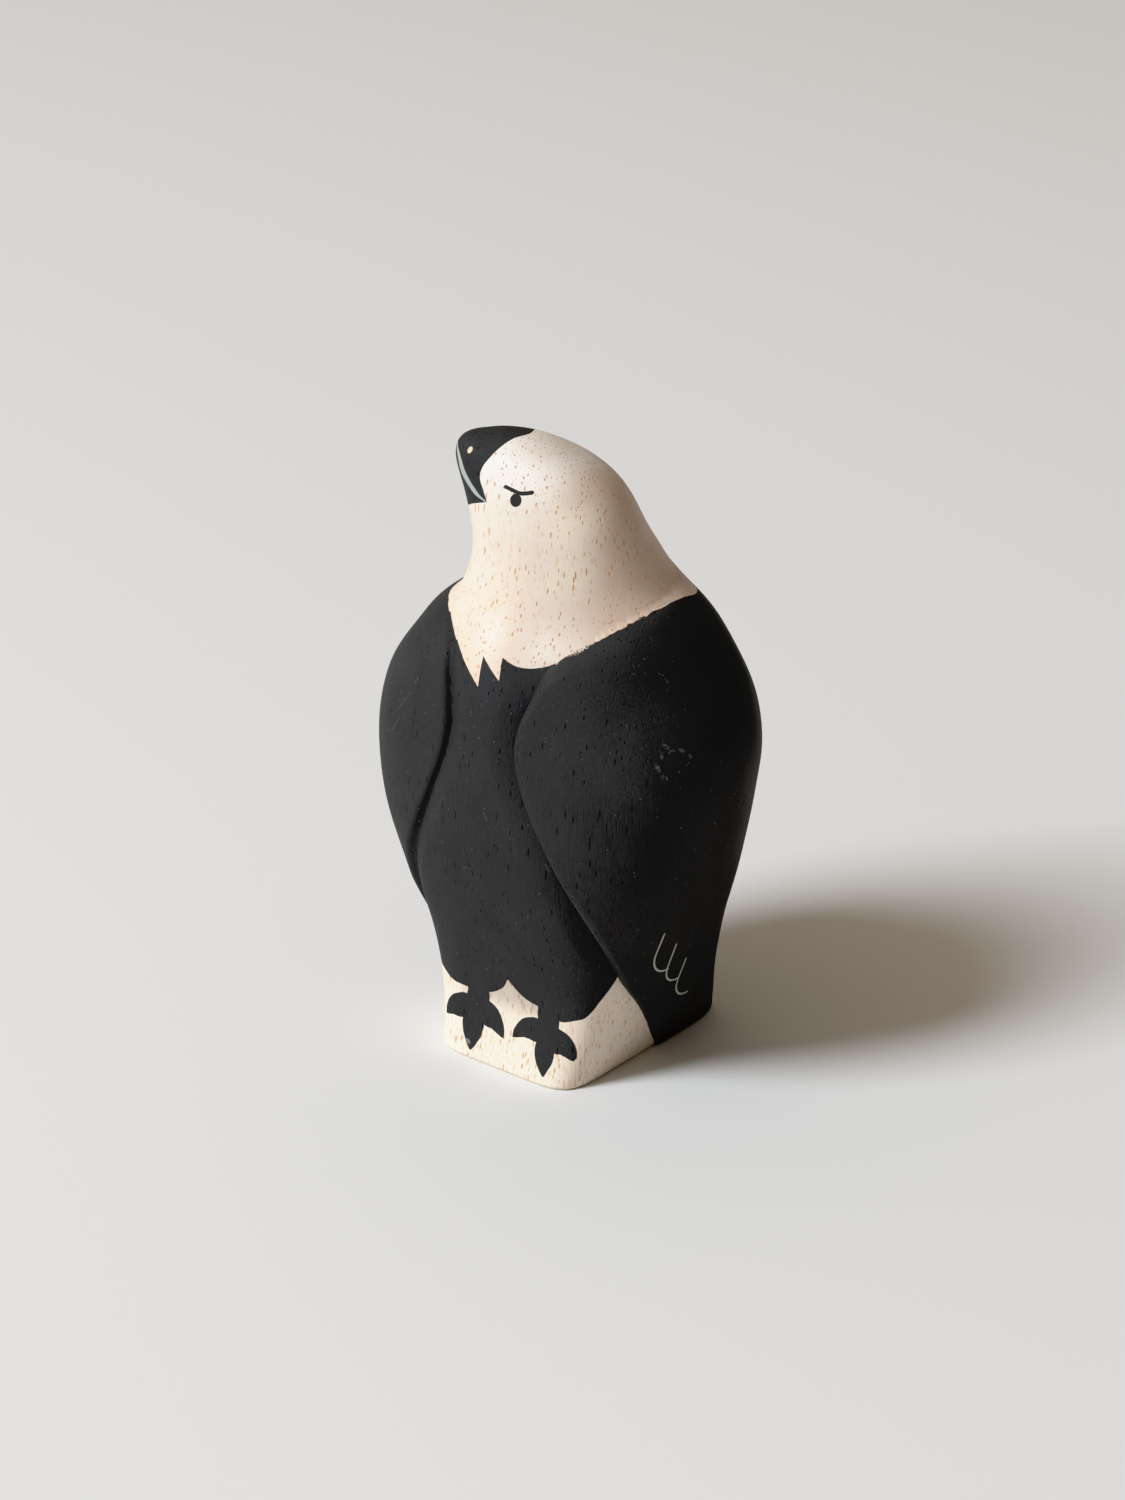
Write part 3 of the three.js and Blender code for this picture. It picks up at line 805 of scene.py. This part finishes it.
class EaglePaint(bpy.types.PropertyGroup):
    """Colours and finish of the wood and the paint."""

    wood_colour: bpy.props.FloatVectorProperty(
        name="Wood", description="Bare sanded wood", subtype="COLOR", min=0, max=1,
        default=(0.825, 0.715, 0.61),
    )
    # Painted shade: this warmer, darker colour lies on the side of the bare wood turned from the lamp, and
    # low on the neck in front
    shade_and_warm_wood_colour: bpy.props.FloatVectorProperty(
        name="Warm wood", description="Bare wood where the grain is warmer", subtype="COLOR", min=0, max=1,
        default=(0.80, 0.60, 0.465),
    )
    # Painted highlight: this paler colour lies on the crown and forehead where the lamp's light falls
    # brightest
    crown_highlight_colour: bpy.props.FloatVectorProperty(
        name="Pale wood", description="Bare wood on the crown, sanded smoothest", subtype="COLOR",
        min=0, max=1, default=(0.92, 0.83, 0.745),
    )
    # Painted light: this paler colour lies on the base and the left cheek where more light reaches them
    painted_light_wood_colour: bpy.props.FloatVectorProperty(
        name="Base wood", description="Bare wood of the base and the cheek, cut cleanest", subtype="COLOR",
        min=0, max=1, default=(0.94, 0.80, 0.65),
    )
    # Painted shade: besides real soiling, smudges and sanding lines, this colour darkens the neck low at its
    # left and the wood under the hem
    soil_and_shade_colour: bpy.props.FloatVectorProperty(
        name="Soiling", description="Bare wood greyed by handling", subtype="COLOR", min=0, max=1,
        default=(0.25, 0.22, 0.18),
    )
    pore_colour: bpy.props.FloatVectorProperty(
        name="Pores", description="Open pores of the wood", subtype="COLOR", min=0, max=1,
        default=(0.74, 0.39, 0.16),
    )
    dark_colour: bpy.props.FloatVectorProperty(
        name="Paint", description="Dark paint of the body, beak and feet", subtype="COLOR", min=0, max=1,
        default=(0.0235, 0.023, 0.0235),
    )
    worn_colour: bpy.props.FloatVectorProperty(
        name="Rubbed paint", description="Dark paint where it has been rubbed", subtype="COLOR", min=0, max=1,
        default=(0.046, 0.0455, 0.046),
    )
    # Painted shade: this darker colour stands for the shade inside the pores that show through the paint
    pit_shade_colour: bpy.props.FloatVectorProperty(
        name="Pits", description="Pores that show through the dark paint", subtype="COLOR", min=0, max=1,
        default=(0.006, 0.006, 0.006),
    )
    # Painted highlight: besides real dust, scuffs and the toe's chip, this colour draws the lit line along
    # the left wing's front edge
    dust_and_highlight_colour: bpy.props.FloatVectorProperty(
        name="Dust", description="Specks on the dark paint", subtype="COLOR", min=0, max=1,
        default=(0.3, 0.29, 0.28),
    )
    mouth_colour: bpy.props.FloatVectorProperty(
        name="Mouth line", description="Pale line along the mouth", subtype="COLOR", min=0, max=1,
        default=(0.4, 0.44, 0.39),
    )
    nostril_colour: bpy.props.FloatVectorProperty(
        name="Nostril", description="Pale oval of the nostril", subtype="COLOR", min=0, max=1,
        default=(0.75, 0.65, 0.45),
    )
    mark_colour: bpy.props.FloatVectorProperty(
        name="Feather marks", description="Hooked marks on the wings", subtype="COLOR", min=0, max=1,
        default=(0.5, 0.5, 0.42),
    )
    wood_roughness: bpy.props.FloatProperty(
        name="Wood roughness", description="Roughness of the bare wood", default=0.45, min=0, max=1,
        subtype="FACTOR",
    )
    dark_roughness: bpy.props.FloatProperty(
        name="Paint roughness", description="Roughness of the dark paint", default=0.6, min=0, max=1,
        subtype="FACTOR",
    )
    wood_specular: bpy.props.FloatProperty(
        name="Wood sheen", description="Strength of the bare wood's reflection", default=0.45, min=0, max=1,
        subtype="FACTOR",
    )
    dark_specular: bpy.props.FloatProperty(
        name="Paint sheen", description="Strength of the dark paint's reflection", default=0.1, min=0, max=1,
        subtype="FACTOR",
    )
    pore_depth: bpy.props.FloatProperty(
        name="Pore depth", description="How deep the open pores look", default=0.07 * MM, min=0,
        max=0.3 * MM, unit="LENGTH", precision=6,
    )


class EagleStudio(bpy.types.PropertyGroup):
    """Floor, light and camera."""

    floor_colour: bpy.props.FloatVectorProperty(
        name="Floor", description="Plain pale floor", subtype="COLOR", min=0, max=1,
        default=(0.775, 0.765, 0.75),
    )
    fill_colour: bpy.props.FloatVectorProperty(
        name="Fill", description="Colour of the weak light from all round", subtype="COLOR", min=0, max=1,
        default=(1.0, 0.84, 0.655),
    )
    fill_power: bpy.props.FloatProperty(
        name="Fill power", description="Strength of the fill from the side it comes from",
        default=0.53, min=0,
    )
    fill_base: bpy.props.FloatProperty(
        name="Fill base", description="Strength of the fill from everywhere else", default=0.03, min=0,
    )
    fill_azimuth: bpy.props.FloatProperty(
        name="Fill azimuth", default=np.radians(-75.0), unit="ROTATION",
        description="Where the fill is brightest, round from the bird's front to its left",
    )
    fill_elevation: bpy.props.FloatProperty(
        name="Fill elevation", description="Height over the floor where the fill is brightest, as an angle",
        default=np.radians(55.0), unit="ROTATION",
    )
    key_colour: bpy.props.FloatVectorProperty(
        name="Key", description="Colour of the soft lamp", subtype="COLOR", min=0, max=1,
        default=(0.85, 0.92, 1.0),
    )
    key_power: bpy.props.FloatProperty(
        name="Key power", description="Power of the soft lamp", default=64.0, min=0, unit="POWER",
    )
    key_width: bpy.props.FloatProperty(
        name="Key width", description="Width of the soft lamp", default=0.76, min=0.05, unit="LENGTH",
    )
    key_height: bpy.props.FloatProperty(
        name="Key height", description="Height of the soft lamp", default=1.26, min=0.05, unit="LENGTH",
    )
    key_distance: bpy.props.FloatProperty(
        name="Key distance", description="Distance of the soft lamp", default=2.4, min=0.5, unit="LENGTH",
    )
    key_azimuth: bpy.props.FloatProperty(
        name="Key azimuth", description="Where the lamp stands, round from the bird's front to its left",
        default=np.radians(-27.0), unit="ROTATION",
    )
    key_elevation: bpy.props.FloatProperty(
        name="Key elevation", description="Height of the lamp over the floor, as an angle",
        default=np.radians(42.5), unit="ROTATION",
    )
    camera_azimuth: bpy.props.FloatProperty(
        name="Camera azimuth", description="Where the camera stands, round from the bird's front to its left",
        default=np.radians(39.04), unit="ROTATION",
    )
    camera_elevation: bpy.props.FloatProperty(
        name="Camera elevation", description="Height of the camera over its target, as an angle",
        default=np.radians(23.86), unit="ROTATION",
    )
    camera_distance: bpy.props.FloatProperty(
        name="Camera distance", description="Distance from the camera to its target",
        default=434.87 * MM, min=0.1, unit="LENGTH", precision=5,
    )
    camera_target: bpy.props.FloatVectorProperty(
        name="Camera target", description="The point that the camera looks at",
        default=(-1.75 * MM, -1.13 * MM, 37.82 * MM), subtype="TRANSLATION", unit="LENGTH", precision=5,
    )


def toward(azimuth, elevation):
    """Unit direction from the carving to where something stands: azimuth from the bird's front towards
    its left, elevation above the floor."""
    level = np.cos(elevation)
    return Vector((np.sin(azimuth) * level, -np.cos(azimuth) * level, np.sin(elevation)))


def looking(item, eye, target):
    """Places a lamp or camera at the eye, level, and points it at the target."""
    item.location = eye
    item.rotation_euler = (Vector(target) - Vector(eye)).to_track_quat("-Z", "Y").to_euler()
    bpy.context.scene.collection.objects.link(item)


class EAGLE_OT_carve(bpy.types.Operator):
    """Carve and paint the eagle"""

    bl_idname = "eagle.carve"
    bl_label = "Carve Eagle"

    def execute(self, context):
        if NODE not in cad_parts:
            raise RuntimeError("the frame has no node " + NODE)
        points, past_edge = carved_surface(context.scene.eagle_shape)
        top = points[-1].mean(axis=0)
        top[2] = HEIGHT
        corners, faces = closed_skin(points, (0, 0, 0), top)
        low, high = (np.array(corner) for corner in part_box(NODE))
        corners = np.clip(corners * MM, low, high)
        mesh = bpy.data.meshes.new(PIECE)
        mesh.from_pydata(corners, [], faces)
        mesh.shade_smooth()
        layer = mesh.attributes.new(WING_LAYER, "FLOAT", "POINT")
        # The middles of the underside and the crown count as past the wings' edge
        reach = np.concatenate([past_edge.ravel(), (10.0, 10.0)])
        layer.data.foreach_set("value", reach.astype(np.float32))
        mesh.materials.append(painted_wood(context.scene.eagle_paint))
        piece = bpy.data.objects.new(PIECE, mesh)
        context.scene.collection.objects.link(piece)
        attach(piece, "root")
        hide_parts(NODE)
        return {"FINISHED"}


class EAGLE_OT_stage(bpy.types.Operator):
    """Lay the floor, hang the light and set up the camera"""

    bl_idname = "eagle.stage"
    bl_label = "Set Up Studio"

    def execute(self, context):
        scene = context.scene
        studio = scene.eagle_studio

        # A floor 8 m wide reaches past the picture's edges from every side
        half = 4.0
        mesh = bpy.data.meshes.new("floor")
        corners = [(-half, -half, 0), (half, -half, 0), (half, half, 0), (-half, half, 0)]
        mesh.from_pydata(corners, [], [(0, 1, 2, 3)])
        material = bpy.data.materials.new("floor_paper")
        material.use_nodes = True
        shader = material.node_tree.nodes["Principled BSDF"]
        shader.inputs["Base Color"].default_value = (*studio.floor_colour, 1)
        shader.inputs["Roughness"].default_value = 0.9
        shader.inputs["Specular IOR Level"].default_value = 0.1
        mesh.materials.append(material)
        floor = bpy.data.objects.new("floor", mesh)
        scene.collection.objects.link(floor)

        world = bpy.data.worlds.new("studio_fill")
        world.use_nodes = True
        sky = world.node_tree
        background = sky.nodes["Background"]
        background.inputs["Color"].default_value = (*studio.fill_colour, 1)
        view = sky.nodes.new("ShaderNodeTexCoord")
        facing = sky.nodes.new("ShaderNodeVectorMath")
        facing.operation = "DOT_PRODUCT"
        facing.inputs[1].default_value = toward(studio.fill_azimuth, studio.fill_elevation)
        sky.links.new(view.outputs["Generated"], facing.inputs[0])
        glow = Reading(sky, facing.outputs["Value"]).most(0.0) * studio.fill_power + studio.fill_base
        sky.links.new(glow.socket, background.inputs["Strength"])
        scene.world = world

        lamp = bpy.data.lights.new("key_lamp", "AREA")
        lamp.shape = "ELLIPSE"
        lamp.size = studio.key_width
        lamp.size_y = studio.key_height
        lamp.energy = studio.key_power
        lamp.color = studio.key_colour
        aim = Vector((0, 0, 35 * MM))
        key = bpy.data.objects.new("key_lamp", lamp)
        looking(key, aim + toward(studio.key_azimuth, studio.key_elevation) * studio.key_distance, aim)

        lens = bpy.data.cameras.new("camera")
        lens.lens = 85.0
        lens.sensor_fit = "VERTICAL"
        lens.sensor_height = 36.0
        lens.clip_start = 0.01
        camera = bpy.data.objects.new("camera", lens)
        target = Vector(studio.camera_target)
        away = toward(studio.camera_azimuth, studio.camera_elevation) * studio.camera_distance
        looking(camera, target + away, target)
        scene.camera = camera
        picture = scene.view_settings
        picture.view_transform = "Standard"
        picture.use_curve_mapping = True
        mapping = picture.curve_mapping
        mapping.use_clip = False
        line = mapping.curves[3]
        line.points[1].location = TONES[-1]
        for tone in TONES[:-1]:
            line.points.new(*tone)
        mapping.update()
        return {"FINISHED"}


class EAGLE_PT_panel(bpy.types.Panel):
    """Sizes, colours and steps of the eagle carving"""

    bl_label = "Wooden Eagle"
    bl_idname = "EAGLE_PT_panel"
    bl_space_type = "VIEW_3D"
    bl_region_type = "UI"
    bl_category = "Eagle"

    def draw(self, context):
        scene = context.scene
        for group in (scene.eagle_shape, scene.eagle_paint, scene.eagle_studio):
            box = self.layout.box()
            for name in group.__annotations__:
                box.prop(group, name)
        self.layout.operator(EAGLE_OT_carve.bl_idname)
        self.layout.operator(EAGLE_OT_stage.bl_idname)


CLASSES = (EagleShape, EaglePaint, EagleStudio, EAGLE_OT_carve, EAGLE_OT_stage, EAGLE_PT_panel)


def register():
    for kind in CLASSES:
        bpy.utils.register_class(kind)
    bpy.types.Scene.eagle_shape = bpy.props.PointerProperty(type=EagleShape)
    bpy.types.Scene.eagle_paint = bpy.props.PointerProperty(type=EaglePaint)
    bpy.types.Scene.eagle_studio = bpy.props.PointerProperty(type=EagleStudio)


def unregister():
    del bpy.types.Scene.eagle_studio
    del bpy.types.Scene.eagle_paint
    del bpy.types.Scene.eagle_shape
    for kind in reversed(CLASSES):
        bpy.utils.unregister_class(kind)


def main():
    register()
    bpy.ops.eagle.stage()
    bpy.ops.eagle.carve()


if __name__ == "__main__":
    main()
